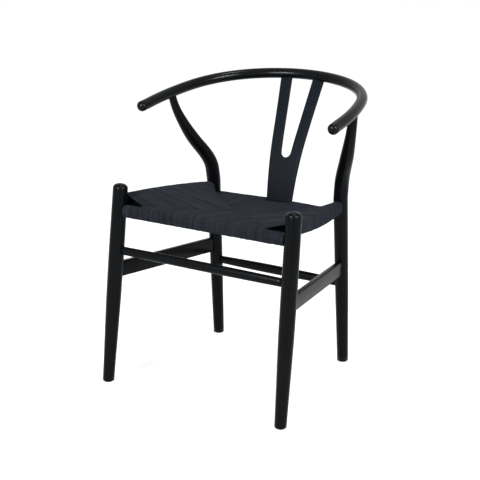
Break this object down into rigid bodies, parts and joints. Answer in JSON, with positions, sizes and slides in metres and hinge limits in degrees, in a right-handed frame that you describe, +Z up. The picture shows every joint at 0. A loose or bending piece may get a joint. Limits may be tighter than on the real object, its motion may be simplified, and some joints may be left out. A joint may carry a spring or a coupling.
{
  "type": "wishbone chair",
  "caption": "Wooden dining chair with turned front legs, a bent round rail that is back and armrests in one, a Y-shaped splat and a woven paper cord seat.",
  "frame": {"origin": "on the floor, below the middle of the chair's outline", "axes": "+Z up, -Y the way the sitter looks, +X to the right seen from the front of the chair"},
  "size_m": [0.5594, 0.5719, 0.751],
  "materials": {
    "lacquered_wood": "black satin lacquer",
    "paper_cord": "black paper cord, matte",
    "glide_plastic": "matte",
    "tack_steel": "plain"
  },
  "bodies": {
    "root": {"back_splat": "lacquered_wood", "front_leg_left": "lacquered_wood", "front_leg_right": "lacquered_wood", "rear_leg_left": "lacquered_wood", "rear_leg_right": "lacquered_wood", "seat_rail_front": "lacquered_wood", "seat_rail_left": "lacquered_wood", "seat_rail_rear": "lacquered_wood", "seat_rail_right": "lacquered_wood", "side_stretcher_left": "lacquered_wood", "side_stretcher_right": "lacquered_wood", "stretcher_front": "lacquered_wood", "stretcher_rear": "lacquered_wood", "top_rail": "lacquered_wood", "glide_front_left": "glide_plastic", "glide_front_right": "glide_plastic", "glide_rear_left": "glide_plastic", "glide_rear_right": "glide_plastic", "woven_seat": "paper_cord", "cord_tacks": "tack_steel"}
  },
  "joints": []
}
